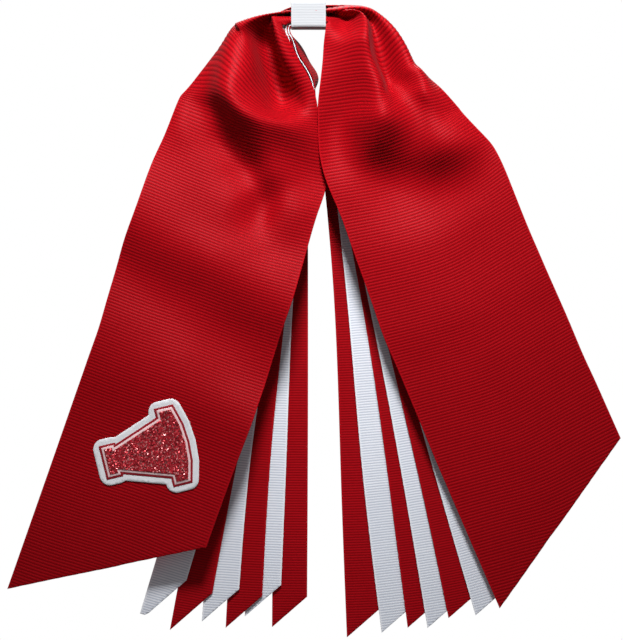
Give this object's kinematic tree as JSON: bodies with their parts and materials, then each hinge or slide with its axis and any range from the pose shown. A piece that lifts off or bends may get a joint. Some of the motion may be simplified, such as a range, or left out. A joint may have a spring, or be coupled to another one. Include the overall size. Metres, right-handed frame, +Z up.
{
  "type": "cheer hair bow",
  "caption": "Ribbon-tail cheer hair bow: gathered wide and narrow grosgrain ribbons, banded at the knot, with an applique patch and a spring barrette behind.",
  "frame": {"origin": "middle of the knot band, where the ribbons are gathered", "axes": "+Z up as the bow is worn, the front faces -Y, +X to the viewer's right; the barrette is on the +Y side, its length along X"},
  "size_m": [0.2664, 0.0382, 0.2766],
  "materials": {
    "red_grosgrain": "ribbed grosgrain, soft sheen",
    "white_grosgrain": "ribbed grosgrain, soft sheen",
    "thread": "twisted polyester thread",
    "patch_white": "flocked twill, matte",
    "patch_dark_red": "matte",
    "patch_pale": "matte",
    "red_glitter": "glitter vinyl, sparkling",
    "hot_glue": "translucent hot-melt",
    "nickel_steel": "nickel plated spring steel"
  },
  "bodies": {
    "root": {"wide_ribbon_center": "red_grosgrain", "streamer_arch_1": "red_grosgrain", "streamer_arch_2": "white_grosgrain", "streamer_arch_3": "red_grosgrain", "streamer_arch_4": "white_grosgrain", "streamer_arch_5": "red_grosgrain", "streamer_arch_6": "white_grosgrain", "gather_thread": "thread", "knot_band": "white_grosgrain", "glue_pad": "hot_glue", "barrette_base": "nickel_steel", "tension_spring": "nickel_steel", "hinge_pin": "nickel_steel"},
    "barrette_arm": {"barrette_arm": "nickel_steel"},
    "latch_prong_upper": {"latch_prong_upper": "nickel_steel"},
    "latch_prong_lower": {"latch_prong_lower": "nickel_steel"},
    "wide_tail_left": {"wide_tail_left": "red_grosgrain", "patch_backing": "patch_white", "patch_rim": "patch_dark_red", "patch_inline": "patch_pale", "patch_glitter": "red_glitter"},
    "wide_tail_right": {"wide_tail_right": "red_grosgrain"},
    "streamer_left_1": {"streamer_left_1": "red_grosgrain"},
    "streamer_left_2": {"streamer_left_2": "white_grosgrain"},
    "streamer_left_3": {"streamer_left_3": "red_grosgrain"},
    "streamer_left_4": {"streamer_left_4": "white_grosgrain"},
    "streamer_left_5": {"streamer_left_5": "red_grosgrain"},
    "streamer_left_6": {"streamer_left_6": "white_grosgrain"},
    "streamer_right_1": {"streamer_right_1": "red_grosgrain"},
    "streamer_right_2": {"streamer_right_2": "white_grosgrain"},
    "streamer_right_3": {"streamer_right_3": "red_grosgrain"},
    "streamer_right_4": {"streamer_right_4": "white_grosgrain"},
    "streamer_right_5": {"streamer_right_5": "red_grosgrain"},
    "streamer_right_6": {"streamer_right_6": "white_grosgrain"}
  },
  "joints": [
    {"name": "arm_hinge", "type": "hinge", "parent": "root", "child": "barrette_arm", "pos_m": [-0.024, 0.0176, 0], "axis": [0, 0, 1], "range_deg": [0, 65], "stiffness_Nm_per_rad": 0.0005},
    {"name": "prong_upper_flex", "type": "hinge", "parent": "root", "child": "latch_prong_upper", "pos_m": [0.0225, 0.013, -0.002], "axis": [1, 0, 0], "range_deg": [-5, 0], "stiffness_Nm_per_rad": 0.001},
    {"name": "prong_lower_flex", "type": "hinge", "parent": "root", "child": "latch_prong_lower", "pos_m": [0.0225, 0.013, -0.004], "axis": [1, 0, 0], "range_deg": [0, 5], "stiffness_Nm_per_rad": 0.001},
    {"name": "wide_tail_left_lift", "type": "hinge", "parent": "root", "child": "wide_tail_left", "pos_m": [-0.03055, -0.0089, -0.0721], "axis": [-0.9363, 0, 0.3513], "range_deg": [0, 60], "stiffness_Nm_per_rad": 0.02},
    {"name": "wide_tail_right_lift", "type": "hinge", "parent": "root", "child": "wide_tail_right", "pos_m": [0.04655, -0.0089, -0.0721], "axis": [-0.9332, 0, -0.3594], "range_deg": [0, 60], "stiffness_Nm_per_rad": 0.02},
    {"name": "streamer_left_1_sway", "type": "hinge", "parent": "root", "child": "streamer_left_1", "pos_m": [-0.0078, 0.004, -0.07595], "axis": [0, 1, 0], "range_deg": [-8, 8], "stiffness_Nm_per_rad": 0.01},
    {"name": "streamer_left_2_sway", "type": "hinge", "parent": "root", "child": "streamer_left_2", "pos_m": [-0.01005, 0.0028, -0.07528], "axis": [0, 1, 0], "range_deg": [-8, 8], "stiffness_Nm_per_rad": 0.01},
    {"name": "streamer_left_3_sway", "type": "hinge", "parent": "root", "child": "streamer_left_3", "pos_m": [-0.01175, 0.0016, -0.07513], "axis": [0, 1, 0], "range_deg": [-8, 8], "stiffness_Nm_per_rad": 0.01},
    {"name": "streamer_left_4_sway", "type": "hinge", "parent": "root", "child": "streamer_left_4", "pos_m": [-0.01304, 0.0004, -0.0747], "axis": [0, 1, 0], "range_deg": [-8, 8], "stiffness_Nm_per_rad": 0.01},
    {"name": "streamer_left_5_sway", "type": "hinge", "parent": "root", "child": "streamer_left_5", "pos_m": [-0.01392, -0.0008, -0.07441], "axis": [0, 1, 0], "range_deg": [-8, 8], "stiffness_Nm_per_rad": 0.01},
    {"name": "streamer_left_6_sway", "type": "hinge", "parent": "root", "child": "streamer_left_6", "pos_m": [-0.01428, -0.002, -0.07407], "axis": [0, 1, 0], "range_deg": [-8, 8], "stiffness_Nm_per_rad": 0.01},
    {"name": "streamer_right_1_sway", "type": "hinge", "parent": "root", "child": "streamer_right_1", "pos_m": [0.01474, 0.0034, -0.07529], "axis": [0, 1, 0], "range_deg": [-8, 8], "stiffness_Nm_per_rad": 0.01},
    {"name": "streamer_right_2_sway", "type": "hinge", "parent": "root", "child": "streamer_right_2", "pos_m": [0.01915, 0.0022, -0.07514], "axis": [0, 1, 0], "range_deg": [-8, 8], "stiffness_Nm_per_rad": 0.01},
    {"name": "streamer_right_3_sway", "type": "hinge", "parent": "root", "child": "streamer_right_3", "pos_m": [0.02123, 0.001, -0.07453], "axis": [0, 1, 0], "range_deg": [-8, 8], "stiffness_Nm_per_rad": 0.01},
    {"name": "streamer_right_4_sway", "type": "hinge", "parent": "root", "child": "streamer_right_4", "pos_m": [0.02301, -0.0002, -0.07436], "axis": [0, 1, 0], "range_deg": [-8, 8], "stiffness_Nm_per_rad": 0.01},
    {"name": "streamer_right_5_sway", "type": "hinge", "parent": "root", "child": "streamer_right_5", "pos_m": [0.02427, -0.0014, -0.07404], "axis": [0, 1, 0], "range_deg": [-8, 8], "stiffness_Nm_per_rad": 0.01},
    {"name": "streamer_right_6_sway", "type": "hinge", "parent": "root", "child": "streamer_right_6", "pos_m": [0.02501, -0.0026, -0.07368], "axis": [0, 1, 0], "range_deg": [-8, 8], "stiffness_Nm_per_rad": 0.01}
  ],
  "couplings": [
    {"joint": "prong_lower_flex", "follows": "prong_upper_flex", "ratio": -1}
  ]
}
